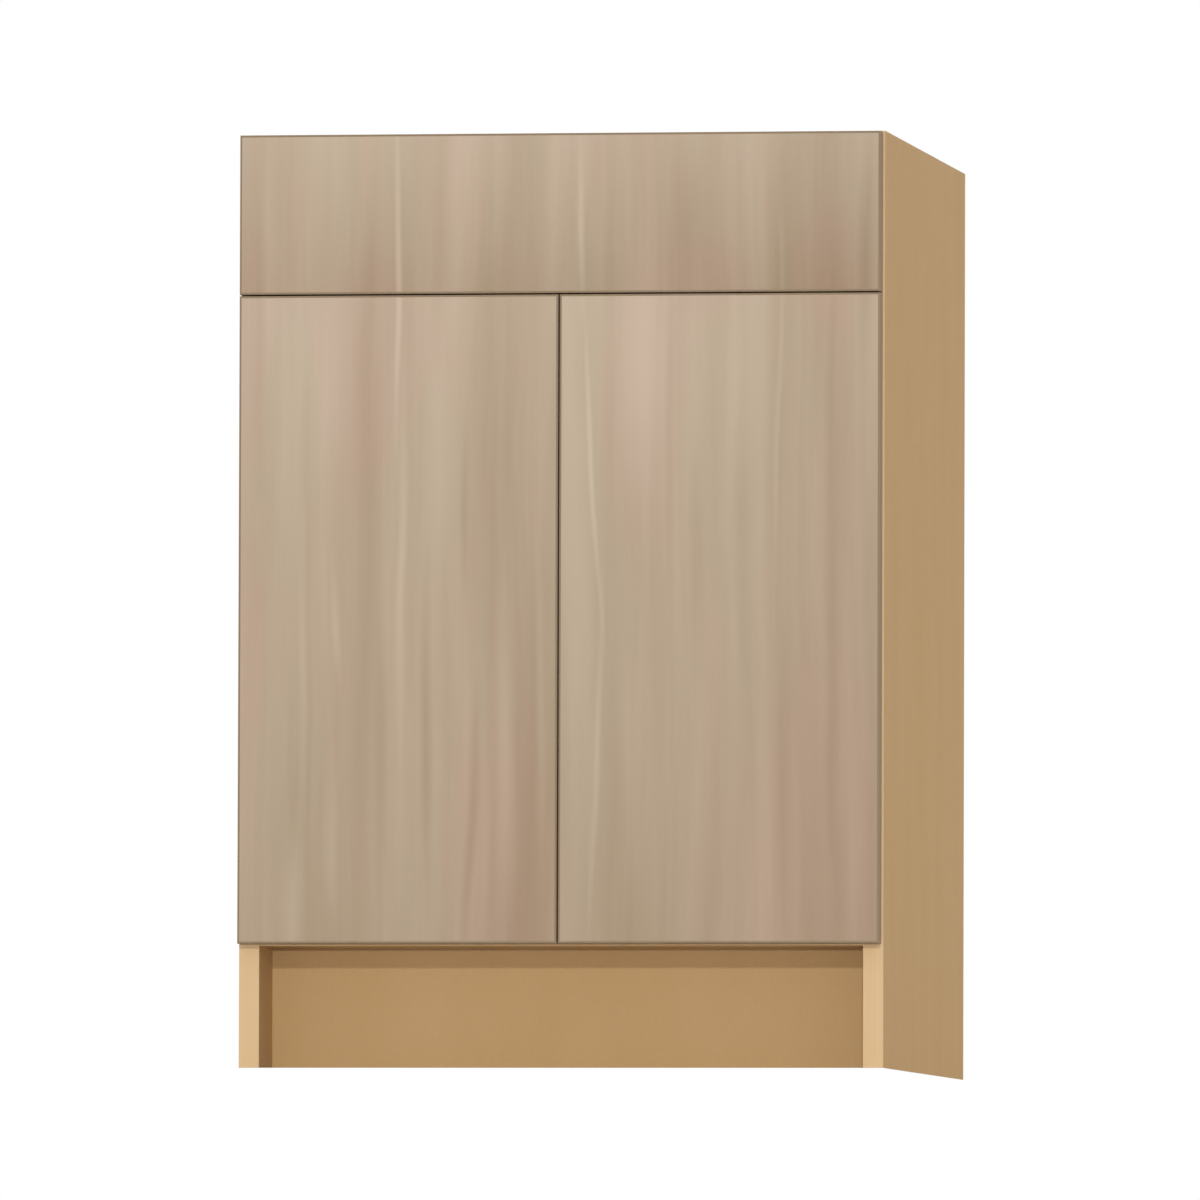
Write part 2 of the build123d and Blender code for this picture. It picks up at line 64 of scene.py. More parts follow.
def linear(code):
    """Turn an sRGB hex colour into linear red, green, blue and alpha."""
    parts = [int(code[i : i + 2], 16) / 255 for i in (1, 3, 5)]
    return (*[p / 12.92 if p <= 0.04045 else ((p + 0.055) / 1.055) ** 2.4 for p in parts], 1.0)


def colour(name, description, code):
    """A colour that the user may change."""
    return FloatVectorProperty(
        name=name, description=description, subtype="COLOR", size=4, min=0.0, max=1.0, default=linear(code)
    )


def length(name, description, millimetres):
    """A size that the user may change."""
    return FloatProperty(name=name, description=description, unit="LENGTH", default=millimetres * MM)


def angle(name, description, degrees):
    """An angle that the user may change."""
    return FloatProperty(name=name, description=description, subtype="ANGLE", default=radians(degrees))


class CabinetFinishes(bpy.types.PropertyGroup):
    """Colours of the boards, bands and metal."""

    olive_dark: colour("Olive grain, dark", "Darkest greenish grain of the fronts", "#9B866A")
    olive_light: colour("Olive grain, light", "Lightest greenish grain of the fronts", "#C8B69F")
    pink_dark: colour("Pink grain, dark", "Darkest reddish grain of the fronts", "#9E836A")
    pink_light: colour("Pink grain, light", "Lightest reddish grain of the fronts", "#CBB49F")
    front_band: colour("Front edge band", "Edge bands round the doors and the drawer front", "#937D62")
    melamine: colour("Melamine", "Faces of the carcass boards", "#C29F6F")
    case_band: colour("Carcass edge band", "Front edges of the carcass boards", "#E1BF90")
    chip_dark: colour("Chipboard, dark", "Dark chips in a cut edge", "#8D6C45")
    chip_light: colour("Chipboard, light", "Light chips in a cut edge", "#CBA978")
    hardboard: colour("Hardboard", "Rear face of the thin back", "#8B6847")
    birch_light: colour("Birch, light", "Early wood of the drawer box", "#DEC499")
    birch_dark: colour("Birch, dark", "Late wood of the drawer box", "#C4A271")
    birch_end: colour("Birch end grain", "Cut ends at the dovetails", "#A98657")
    nickel: colour("Nickel", "Plated steel of the hinges", "#CFCAC1")
    zinc: colour("Zinc", "Plated steel of the slides and screws", "#C3C8CC")
    tarnish: colour("Tarnish", "What the duller streaks of plated steel lean towards", "#595C61")
    pad: colour("Pads", "Soft pads behind the fronts", "#D5D6D1")


class CabinetHardware(bpy.types.PropertyGroup):
    """Sizes of the screw heads and balls, and where they sit."""

    hinge_head: length("Hinge head", "Radius of the heads on cups, plates and arms", 3.6)
    hinge_rise: length("Hinge head rise", "Height of the heads on cups, plates and arms", 1.0)
    slide_head: length("Slide head", "Radius of the heads on the slides", 3.6)
    slide_rise: length("Slide head rise", "Height of the heads on the drawer members", 1.8)
    flush_rise: length("Flush rise", "Height of the flush heads on the cabinet members", 0.2)
    washer_head: length("Washer head", "Radius of the heads that hold the drawer front", 5.5)
    washer_rise: length("Washer head rise", "Height of the heads that hold the drawer front", 2.4)
    washer_across: length("Washer heads across", "Distance of these heads from the drawer's middle", 170)
    washer_drop: length("Lower washer heads", "Distance of the lower ones below the box's mid-height", 16)
    washer_lift: length("Upper washer heads", "Distance of the upper ones above the box's mid-height", 24)
    cup_spacing: length("Cup screws", "Distance between the two screws of a hinge cup", 45)
    cup_offset: length("Cup screw offset", "Distance of the cup screws in from the middle of the cup", 9.5)
    cup_flange: length("Cup flange", "Distance of the flange's outer edge from the middle of the cup", 19)
    plate_wings: length("Plate wings", "Height of a hinge plate over its wings", 50)
    plate_spacing: length("Plate screws", "Distance between the two screws of a hinge plate", 32)
    plate_front: length("Plate front", "Distance of the plate screws behind the plate's front", 7)
    wing_face: length("Wing face", "Distance of the wings' faces from the side panel", 3)
    arm_face: length("Arm face", "Distance of the hinge arms' faces from the side panel", 16.4)
    arm_rear: length("Rear arm screw", "Distance of an arm's rear screw from the arm's end", 12)
    arm_front: length("Front arm screw", "Distance of an arm's front screw from the arm's end", 32)
    slide_steel: length("Slide steel", "Thickness of the slide members", 1.2)
    cage_steel: length("Retainer steel", "Thickness of the ball retainers", 0.8)
    ball: length("Balls", "Radius of the balls in the slides", 1.8)
    outer_row: length("Outer balls", "Distance of the outer ball rows from the side panel", 5.2)
    inner_row: length("Inner balls", "Distance of the inner ball rows from the side panel", 8.8)


class CabinetStage(bpy.types.PropertyGroup):
    """Camera, lamps and floor."""

    azimuth: angle("Azimuth", "Camera's place to the right", 8.4579)
    pan: angle("Pan", "Camera's turn to the left", 0.0193)
    tilt: angle("Tilt", "Camera's tilt upwards", 2.6165)
    roll: angle("Roll", "Camera's roll", 0.1786)
    distance: length("Distance", "Camera to the middle of the cabinet", 17019)
    eye: length("Eye", "Camera's height; below the floor it looks up through it", -326.8)
    lens: FloatProperty(name="Lens", description="Focal length", unit="CAMERA", default=536.7)
    front: FloatProperty(name="Front", description="Strength of each front lamp", default=0.74)
    around: FloatProperty(name="Around", description="Strength of each side or rear lamp", default=0.65)
    fill: FloatProperty(name="Fill", description="Strength of the light from all round", default=0.49)
    floor: colour("Floor", "Studio floor", "#F4F3F1")


def fill(node, inputs):
    """Fill a node's sockets, by name or in order, with values, nodes or outputs of nodes."""
    if isinstance(inputs, dict):
        pairs = [(node.inputs[name], value) for name, value in inputs.items()]
    else:
        pairs = zip([socket for socket in node.inputs if socket.enabled], inputs)
    for socket, value in pairs:
        if isinstance(value, bpy.types.Node):
            value = next(output for output in value.outputs if output.enabled)
        if isinstance(value, bpy.types.NodeSocket):
            node.id_data.links.new(value, socket)
        else:
            socket.default_value = value


def add(tree, kind, inputs=(), **settings):
    """Add a node with its settings and links."""
    node = tree.nodes.new(kind)
    for name, value in settings.items():
        setattr(node, name, value)
    fill(node, inputs)
    return node


def new_finish(name):
    """Start a material, and give it with its nodes and its surface."""
    material = bpy.data.materials.new(name)
    material.use_nodes = True
    tree = material.node_tree
    return material, tree, tree.nodes["Principled BSDF"]


def towards(colour_a, colour_b, share):
    """A colour part of the way from one to another."""
    return [a + (b - a) * share for a, b in zip(colour_a, colour_b)]


def grain(tree, place, sizes, seed, detail=2.0):
    """Streaks with a size in millimetres along each axis, as values round a half."""
    scale = [1 / (size * MM) for size in sizes]
    start = (seed, seed, seed)
    scaled = add(tree, "ShaderNodeMapping", {"Vector": place, "Location": start, "Scale": scale})
    return add(tree, "ShaderNodeTexNoise", {"Vector": scaled, "Scale": 1.0, "Detail": detail})


def layered(tree, start, parts):
    """A number plus a share of each of several patterns."""
    total = start
    for share, pattern in parts:
        total = add(tree, "ShaderNodeMath", (pattern, share, total), operation="MULTIPLY_ADD")
    return total


def squarely(tree, normal, axis):
    """One where a surface faces along an axis of the piece, either way, and nought elsewhere."""
    least_cosine = 0.6
    along = add(tree, "ShaderNodeVectorMath", (normal, axis), operation="DOT_PRODUCT")
    either = add(tree, "ShaderNodeMath", (along,), operation="ABSOLUTE")
    return add(tree, "ShaderNodeMath", (either, least_cosine), operation="GREATER_THAN")


# Streaks of the fronts: place across and height of the middle, half width and half length in millimetres,
# lean in degrees, and strength, which is below nought for a dark one
STREAKS = (
    (-276, 740, 12, 230, 0, 0.22),
    (-256, 560, 22, 460, 1, 0.22),
    (-250, 150, 18, 110, 0, 0.3),
    (-241, 360, 7, 230, 0, 0.2),
    (-214, 640, 26, 150, 0, 0.2),
    (-208, 410, 6, 80, -3, 0.2),
    (-211, 200, 12, 130, 0, 0.18),
    (-182, 420, 20, 560, 0, -0.22),
    (-166, 290, 9, 240, 0, -0.22),
    (-153, 730, 5, 210, 0, 0.42),
    (-147, 490, 6, 260, 0, 0.22),
    (-123, 310, 8, 220, 0, -0.28),
    (-110, 610, 16, 190, 0, 0.14),
    (-88, 520, 6, 120, 0, -0.2),
    (-83, 230, 8, 170, 3, -0.26),
    (-66, 540, 32, 360, 0, -0.24),
    (-51, 320, 14, 300, 0, 0.26),
    (-18, 340, 7, 230, 0, 0.18),
    (17, 420, 22, 420, 0, 0.22),
    (22, 790, 5, 110, -1.5, 0.3),
    (34, 560, 4, 210, -3, 0.34),
    (36, 300, 5, 240, 2.5, 0.24),
    (74, 310, 24, 240, 0, 0.2),
    (80, 650, 34, 190, 0, 0.2),
    (106, 560, 6, 330, 0, -0.16),
    (122, 800, 32, 120, 0, -0.18),
    (130, 490, 11, 180, 0, -0.18),
    (176, 640, 30, 130, 0, 0.1),
    (208, 630, 4, 260, 1, 0.2),
    (212, 250, 14, 240, 0, -0.18),
    (258, 420, 12, 480, 0, -0.14),
    (291, 780, 12, 170, 0, -0.22),
)
# Tints of the fronts, written the same way: pink ones, and olive ones with a strength below nought
TINTS = (
    (-298, 690, 24, 150, 0, 0.35),
    (-298, 405, 24, 120, 0, 0.35),
    (-257, 270, 46, 115, 0, -0.35),
    (-253, 580, 38, 170, 0, -0.35),
    (-172, 640, 76, 160, 0, 0.35),
    (-129, 555, 58, 125, 0, -0.35),
    (-56, 190, 76, 190, 0, 0.35),
    (21, 460, 40, 440, 0, -0.35),
    (80, 620, 56, 190, 0, 0.35),
    (141, 735, 50, 60, 0, 0.25),
    (160, 583, 62, 170, 0, -0.35),
    (240, 180, 100, 240, 0, 0.35),
    (256, 745, 50, 90, 0, 0.25),
)
# Streaks and tints wander sideways within this width in millimetres along a door's height
DRIFT = 22


def ovals(tree, place, start, table):
    """A number plus the slim ovals of a table, which fade towards their rims."""
    total = start
    for across, height, half, reach, lean, strength in table:
        setting = {
            "Vector": place,
            "Location": ((across + DRIFT / 2) * MM, 0, height * MM),
            "Rotation": (0, radians(lean), 0),
            "Scale": (half * MM, ENDLESS, reach * MM),
        }
        oval = add(tree, "ShaderNodeMapping", setting, vector_type="TEXTURE")
        off = add(tree, "ShaderNodeVectorMath", (oval,), operation="LENGTH")
        inside = add(tree, "ShaderNodeMapRange", (off, 0.0, 1.0, 1.0, 0.0), interpolation_type="SMOOTHSTEP")
        total = layered(tree, total, [(strength, inside)])
    return total


def woodgrain_laminate(looks):
    """Printed paper under matt resin: soft olive and pink streaks, upright through all the fronts."""
    material, tree, surface = new_finish("Woodgrain laminate")
    spot = add(tree, "ShaderNodeTexCoord")
    place = spot.outputs["Object"]
    drift = grain(tree, place, (150, ENDLESS, 380), 4.0)
    bent = add(tree, "ShaderNodeVectorMath", (drift, (DRIFT * MM, 0, 0), place), operation="MULTIPLY_ADD")
    broad = grain(tree, bent, (75, ENDLESS, 900), 3.1)
    narrow = grain(tree, bent, (22, ENDLESS, 500), 8.4)
    ticks = grain(tree, bent, (5, ENDLESS, 75), 7.9)
    blush = grain(tree, bent, (50, ENDLESS, 500), 12.9)
    fine_blush = grain(tree, bent, (9, ENDLESS, 260), 15.3)
    # Printed fibres are some tenths of a millimetre wide, and drawn wider here so that they show
    fibre = grain(tree, bent, (3, ENDLESS, 140), 5.7)
    # Painted light: each front is a little lighter at its top left, as if lit from there, and darker towards
    # its bottom right
    share = add(tree, "ShaderNodeSeparateXYZ", (spot.outputs["Generated"],))
    parts = [(0.85, broad), (0.4, narrow), (0.1, ticks), (0.06, fibre)]
    parts += [(0.42, share.outputs["Z"]), (-0.2, share.outputs["X"])]
    # The streaks and tints that catch the eye are placed one by one over the even grain
    grain_and_painted_light = add(tree, "ShaderNodeClamp", (ovals(tree, bent, layered(tree, -0.34, parts), STREAKS),))
    warmth = ovals(tree, bent, layered(tree, 0.13, [(0.35, blush), (0.35, fine_blush)]), TINTS)
    olive = add(tree, "ShaderNodeMix", (grain_and_painted_light, looks.olive_dark, looks.olive_light), data_type="RGBA")
    pink = add(tree, "ShaderNodeMix", (grain_and_painted_light, looks.pink_dark, looks.pink_light), data_type="RGBA")
    pinkness = add(tree, "ShaderNodeMapRange", (warmth, 0.36, 0.64), interpolation_type="SMOOTHSTEP")
    fill(
        surface,
        {
            "Base Color": add(tree, "ShaderNodeMix", (pinkness, olive, pink), data_type="RGBA"),
            "Roughness": layered(tree, 0.44, [(0.16, fibre)]),
            "Specular IOR Level": 0.25,
            "Normal": add(tree, "ShaderNodeBump", {"Height": fibre, "Distance": 0.03 * MM}),
        },
    )
    return material


def edge_band(name, base, axis):
    """Extruded plastic band, printed along its run: finer streaks than the board, and a dull skin."""
    material, tree, surface = new_finish(name)
    place = add(tree, "ShaderNodeTexCoord").outputs["Object"]
    sizes = [260 if along else 1.6 for along in axis]
    streak = grain(tree, place, sizes, 2.2)
    cloud = grain(tree, place, [3 * size for size in sizes], 6.1)
    share = layered(tree, -0.1, [(0.7, streak), (0.5, cloud)])
    deep, light = towards(base, BLACK, 0.1), towards(base, WHITE, 0.06)
    fill(
        surface,
        {
            "Base Color": add(tree, "ShaderNodeMix", (share, deep, light), data_type="RGBA"),
            "Roughness": layered(tree, 0.66, [(0.14, streak)]),
            "Specular IOR Level": 0.06,
        },
    )
    return material


def melamine_specks(tree, place):
    """Fine upright specks, as printed in melamine."""
    return grain(tree, place, (1.4, 1.4, 9), 9.3)


def melamine_board(name, looks, axis):
    """Chipboard faced with tan melamine: even satin faces, and rough chips on the edges that are cut."""
    material, tree, surface = new_finish(name)
    spot = add(tree, "ShaderNodeTexCoord")
    place = spot.outputs["Object"]
    cloud = grain(tree, place, (70, 70, 240), 1.7)
    speck = melamine_specks(tree, place)
    share = layered(tree, -0.25, [(0.8, cloud), (0.7, speck)])
    deep, light = towards(looks.melamine, BLACK, 0.07), towards(looks.melamine, WHITE, 0.035)
    face = add(tree, "ShaderNodeMix", (share, deep, light), data_type="RGBA")
    chip_sizes = (4, 4, 2)
    chip_scale = [1 / (size * MM) for size in chip_sizes]
    scaled = add(tree, "ShaderNodeMapping", {"Vector": place, "Scale": chip_scale})
    chips = add(tree, "ShaderNodeTexVoronoi", {"Vector": scaled, "Scale": 1.0})
    chip = add(tree, "ShaderNodeSeparateColor", (chips.outputs["Color"],))
    cut = add(tree, "ShaderNodeMix", (chip, looks.chip_dark, looks.chip_light), data_type="RGBA")
    faced = squarely(tree, spot.outputs["Normal"], axis)
    height = add(tree, "ShaderNodeMix", (faced, chip, speck))
    satin = layered(tree, 0.68, [(0.14, speck)])
    fill(
        surface,
        {
            "Base Color": add(tree, "ShaderNodeMix", (faced, cut, face), data_type="RGBA"),
            "Roughness": add(tree, "ShaderNodeMix", (faced, 0.85, satin)),
            "Specular IOR Level": 0.06,
            "Normal": add(tree, "ShaderNodeBump", {"Height": height, "Distance": 0.05 * MM}),
        },
    )
    return material


def hardboard_back(looks):
    """Thin hardboard: melamine towards the inside, and bare, dull and fibrous towards the wall."""
    material, tree, surface = new_finish("Hardboard")
    spot = add(tree, "ShaderNodeTexCoord")
    place = spot.outputs["Object"]
    fibre = grain(tree, place, (5, 5, 5), 7.7, 4.0)
    cloud = grain(tree, place, (120, 120, 120), 3.9)
    share = layered(tree, -0.35, [(0.9, fibre), (0.8, cloud)])
    deep = towards(looks.hardboard, BLACK, 0.3)
    bare = add(tree, "ShaderNodeMix", (share, deep, looks.hardboard), data_type="RGBA")
    deep = towards(looks.melamine, BLACK, 0.07)
    specked = (melamine_specks(tree, place), deep, looks.melamine)
    face = add(tree, "ShaderNodeMix", specked, data_type="RGBA")
    back_way = add(tree, "ShaderNodeVectorMath", (spot.outputs["Normal"], Y), operation="DOT_PRODUCT")
    inside = add(tree, "ShaderNodeMath", (back_way, -0.5), operation="LESS_THAN")
    fill(
        surface,
        {
            "Base Color": add(tree, "ShaderNodeMix", (inside, bare, face), data_type="RGBA"),
            "Roughness": add(tree, "ShaderNodeMix", (inside, 0.8, 0.5)),
            "Specular IOR Level": 0.25,
            "Normal": add(tree, "ShaderNodeBump", {"Height": fibre, "Distance": 0.12 * MM}),
        },
    )
    return material


def clear_birch(name, looks, axis):
    """Planed birch under matt clear lacquer: fine lines along the board, and darker pores on cut ends."""
    material, tree, surface = new_finish(name)
    spot = add(tree, "ShaderNodeTexCoord")
    place = spot.outputs["Object"]
    rings = grain(tree, place, [420 if along else 9 for along in axis], 6.3, 3.0)
    # Pores are about a tenth of a millimetre wide, and drawn wider here so that they show
    pores = grain(tree, place, [40 if along else 0.9 for along in axis], 2.8)
    share = add(tree, "ShaderNodeClamp", (layered(tree, -0.55, [(1.5, rings), (0.6, pores)]),))
    long_grain = add(tree, "ShaderNodeMix", (share, looks.birch_dark, looks.birch_light), data_type="RGBA")
    dots = grain(tree, place, (1.2, 1.2, 1.2), 8.8)
    end_grain = add(tree, "ShaderNodeMix", (dots, looks.birch_end, looks.birch_dark), data_type="RGBA")
    cut = squarely(tree, spot.outputs["Normal"], axis)
    fill(
        surface,
        {
            "Base Color": add(tree, "ShaderNodeMix", (cut, long_grain, end_grain), data_type="RGBA"),
            "Roughness": layered(tree, 0.58, [(0.22, pores)]),
            "Specular IOR Level": 0.1,
            "Normal": add(tree, "ShaderNodeBump", {"Height": pores, "Distance": 0.03 * MM}),
        },
    )
    return material


def plated_steel(name, base, tarnish, roughness):
    """Rolled and pressed steel, brightly plated: clear reflections, faintly streaked along the strip."""
    material, tree, surface = new_finish(name)
    place = add(tree, "ShaderNodeTexCoord").outputs["Object"]
    # Rolling marks are finer than a tenth of a millimetre, and drawn wider here so that they show
    streak = grain(tree, place, (0.8, 60, 0.8), 5.2)
    cloud = grain(tree, place, (18, 18, 18), 1.3)
    share = layered(tree, -0.1, [(0.6, streak), (0.6, cloud)])
    deep = towards(base, tarnish, 0.22)
    fill(
        surface,
        {
            "Base Color": add(tree, "ShaderNodeMix", (share, deep, base), data_type="RGBA"),
            "Metallic": 1.0,
            "Roughness": layered(tree, roughness - 0.1, [(0.12, streak), (0.1, cloud)]),
            "Normal": add(tree, "ShaderNodeBump", {"Height": streak, "Distance": 0.006 * MM}),
        },
    )
    return material


def soft_pad(looks):
    """Cast polyurethane: milky, a little cloudy, and slightly shiny."""
    material, tree, surface = new_finish("Soft polyurethane")
    place = add(tree, "ShaderNodeTexCoord").outputs["Object"]
    cloud = grain(tree, place, (4, 4, 4), 3.3)
    deep = towards(looks.pad, BLACK, 0.12)
    fill(
        surface,
        {
            "Base Color": add(tree, "ShaderNodeMix", (cloud, deep, looks.pad), data_type="RGBA"),
            "Roughness": layered(tree, 0.3, [(0.1, cloud)]),
            "IOR": 1.49,
            "Subsurface Weight": 0.25,
            "Subsurface Scale": 1.0 * MM,
        },
    )
    return material


def dress(material, *nodes):
    """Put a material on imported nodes."""
    for name in nodes:
        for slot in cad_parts[name].material_slots:
            slot.material = material


def made_object(name, builder):
    """A new object in the scene from a bmesh, which is freed."""
    mesh = bpy.data.meshes.new(name)
    builder.to_mesh(mesh)
    builder.free()
    piece = bpy.data.objects.new(name, mesh)
    bpy.context.scene.collection.objects.link(piece)
    return piece


def turned_head(radius, rise):
    """Low domed head, turned about its axis, with its seat at height 0."""
    rim, seat = 0.3 * rise, 0.9 * radius
    steps, sides = 4, 20
    profile = [(seat, 0.0), (radius, 0.0), (radius, rim)]
    for step in range(1, steps):
        climb = step / steps * pi / 2
        profile.append((radius * cos(climb), rim + (rise - rim) * sin(climb)))
    builder = bmesh.new()
    turns = [2 * pi * k / sides for k in range(sides)]
    rings = [[builder.verts.new((r * cos(turn), r * sin(turn), z)) for turn in turns] for r, z in profile]
    for low, high in zip(rings, rings[1:]):
        for k in range(sides):
            builder.faces.new((low[k], low[(k + 1) % sides], high[(k + 1) % sides], high[k]))
    builder.faces.new(rings[-1])
    builder.faces.new(rings[0][::-1])
    bmesh.ops.recalc_face_normals(builder, faces=builder.faces)
    return builder


def cross_cutter(radius, rise):
    """Tapered cross, to sink a drive recess into a head."""
    reach, half = 0.55 * radius, 0.13 * radius
    top_height, floor_height, taper = 1.6 * rise, 0.35 * rise, 0.8
    outline = [(reach, -half), (reach, half), (half, half), (half, reach), (-half, reach), (-half, half)]
    outline += [(-x, -y) for x, y in outline]
    builder = bmesh.new()
    top = [builder.verts.new((x, y, top_height)) for x, y in outline]
    low = [builder.verts.new((taper * x, taper * y, floor_height)) for x, y in outline]
    count = len(outline)
    builder.faces.new(top)
    builder.faces.new(low[::-1])
    for k in range(count):
        builder.faces.new((low[k], low[(k + 1) % count], top[(k + 1) % count], top[k]))
    bmesh.ops.recalc_face_normals(builder, faces=builder.faces)
    return builder


def screw_head(radius, rise):
    """Mesh of a domed head with a cross recess."""
    head = made_object("head_blank", turned_head(radius, rise))
    cutter = made_object("head_cutter", cross_cutter(radius, rise))
    sink = head.modifiers.new("recess", "BOOLEAN")
    sink.object = cutter
    sink.operation = "DIFFERENCE"
    sink.solver = "EXACT"
    drawn = head.evaluated_get(bpy.context.evaluated_depsgraph_get())
    mesh = bpy.data.meshes.new_from_object(drawn)
    for blank in (head, cutter):
        bpy.data.objects.remove(blank)
    return mesh


def set_screws(name, head, spots, body, material):
    """One piece with a screw head at each spot: a point and the way that the head faces."""
    # In radians: how much further round each cross stops than the one before it, and which edges stay sharp
    further, sharp = 0.9, radians(38)
    builder = bmesh.new()
    for number, (point, way) in enumerate(spots):
        before = len(builder.verts)
        builder.from_mesh(head)
        builder.verts.ensure_lookup_table()
        turn = Matrix.Rotation(further * number, 4, "Z")
        aim = Vector(way).to_track_quat("Z", "Y").to_matrix().to_4x4()
        move = Matrix.Translation(point) @ aim @ turn
        bmesh.ops.transform(builder, matrix=move, verts=builder.verts[before:])
    piece = made_object(name, builder)
    piece.data.shade_smooth()
    piece.data.set_sharp_from_angle(angle=sharp)
    piece.data.materials.append(material)
    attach(piece, body)


def set_balls(name, cage, offset, body, sizes, material):
    """Balls in both rows of each of two retainers, which lie at a distance from the side panels."""
    low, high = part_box(cage)
    side_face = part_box("slide_cabinet_members")[1].x
    middle, half = (low.z + high.z) / 2, (high.z - low.z - sizes.cage_steel) / 2
    count = 10
    builder = bmesh.new()
    for side in SIDES.values():
        for row in (-half, half):
            for number in range(count):
                y = low.y + (number + 0.5) * (high.y - low.y) / count
                move = Matrix.Translation((side * (side_face - offset), y, middle + row))
                bmesh.ops.create_icosphere(builder, subdivisions=2, radius=sizes.ball, matrix=move)
    piece = made_object(name, builder)
    piece.data.shade_smooth()
    piece.data.materials.append(material)
    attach(piece, body)


def zinc(looks):
    """The plated steel that slides and screws share, made once."""
    name = "Zinc-plated steel"
    return bpy.data.materials.get(name) or plated_steel(name, looks.zinc, looks.tarnish, roughness=0.34)


def nickel(looks):
    """The plated steel of the hinges, made once."""
    name = "Nickel-plated steel"
    return bpy.data.materials.get(name) or plated_steel(name, looks.nickel, looks.tarnish, roughness=0.24)


class CABINET_OT_fronts(bpy.types.Operator):
    """Finish the doors, the drawer front and their edge bands"""

    bl_idname = "cabinet.fronts"
    bl_label = "Fronts"

    def execute(self, context):
        looks = context.scene.cabinet_finishes
        dress(woodgrain_laminate(looks), "drawer_front", "left_door_panel", "right_door_panel")
        bands = edge_band("Laminate edge band", looks.front_band, Z)
        dress(bands, "drawer_front_edge_bands", "left_door_edge_bands", "right_door_edge_bands")
        return {"FINISHED"}


class CABINET_OT_carcass(bpy.types.Operator):
    """Finish the boards of the carcass and their edge bands"""

    bl_idname = "cabinet.carcass"
    bl_label = "Carcass"

    def execute(self, context):
        looks = context.scene.cabinet_finishes
        dress(melamine_board("Tan melamine, sides", looks, X), "left_side_panel", "right_side_panel")
        level = melamine_board("Tan melamine, level boards", looks, Z)
        dress(level, "bottom_panel", "drawer_divider_rail", "adjustable_shelf")
        dress(level, "front_stretcher", "rear_stretcher")
        upright = melamine_board("Tan melamine, upright boards", looks, Y)
        dress(upright, "toe_kick_board", "lower_nailer", "upper_nailer")
        dress(hardboard_back(looks), "back_panel")
        dress(edge_band("Maple edge band, upright", looks.case_band, Z), "side_panel_edge_bands")
        dress(edge_band("Maple edge band, level", looks.case_band, X), "rail_edge_bands", "shelf_edge_band")
        return {"FINISHED"}


class CABINET_OT_drawer_box(bpy.types.Operator):
    """Finish the drawer box and add the screws that hold its front"""

    bl_idname = "cabinet.drawer_box"
    bl_label = "Drawer box"

    def execute(self, context):
        looks, sizes = context.scene.cabinet_finishes, context.scene.cabinet_hardware
        lengthways = clear_birch("Clear birch, sides", looks, Y)
        crossways = clear_birch("Clear birch, ends", looks, X)
        dress(lengthways, "drawer_left_side", "drawer_right_side")
        dress(crossways, "drawer_box_front", "drawer_box_back", "drawer_bottom")
        low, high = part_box("drawer_box_front")
        middle = (low.z + high.z) / 2
        spots = []
        for side in SIDES.values():
            for up in (-sizes.washer_drop, sizes.washer_lift):
                spots.append(((side * sizes.washer_across, high.y, middle + up), Y))
        head = screw_head(sizes.washer_head, sizes.washer_rise)
        set_screws("drawer_front_screws", head, spots, "drawer", zinc(looks))
        return {"FINISHED"}


class CABINET_OT_hinges(bpy.types.Operator):
    """Finish the concealed hinges and the shelf pins, and add the hinge screws"""

    bl_idname = "cabinet.hinges"
    bl_label = "Hinges"

    def execute(self, context):
        looks, sizes = context.scene.cabinet_finishes, context.scene.cabinet_hardware
        metal = nickel(looks)
        dress(metal, "hinge_arms", "hinge_plates", "shelf_pins")
        head = screw_head(sizes.hinge_head, sizes.hinge_rise)
        plates_low, plates_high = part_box("hinge_plates")
        heights = (plates_low.z + sizes.plate_wings / 2, plates_high.z - sizes.plate_wings / 2)
        arm_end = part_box("hinge_arms")[1].y
        inner_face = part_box("right_side_panel")[0].x
        plate_spots, arm_spots = [], []
        for hand, side in SIDES.items():
            for piece in ("hinge_cups", "hinge_front_links", "hinge_rear_links"):
                dress(metal, f"{hand}_{piece}")
            inward = (-side, 0, 0)
            cups_low, cups_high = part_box(f"{hand}_hinge_cups")
            flange_edge = cups_low.x if side < 0 else cups_high.x
            cup_x = flange_edge - side * (sizes.cup_flange + sizes.cup_offset)
            wing_x, arm_x = side * (inner_face - sizes.wing_face), side * (inner_face - sizes.arm_face)
            cup_spots = []
            for z in heights:
                for up in (-0.5, 0.5):
                    cup_spots.append(((cup_x, cups_high.y, z + up * sizes.cup_spacing), Y))
                    plate_y = plates_low.y + sizes.plate_front
                    plate_spots.append(((wing_x, plate_y, z + up * sizes.plate_spacing), inward))
                for ahead in (sizes.arm_rear, sizes.arm_front):
                    arm_spots.append(((arm_x, arm_end - ahead, z), inward))
            set_screws(f"{hand}_hinge_cup_screws", head, cup_spots, f"{hand}_door", metal)
        set_screws("hinge_plate_screws", head, plate_spots, "cabinet", metal)
        set_screws("hinge_arm_screws", head, arm_spots, "cabinet", metal)
        return {"FINISHED"}


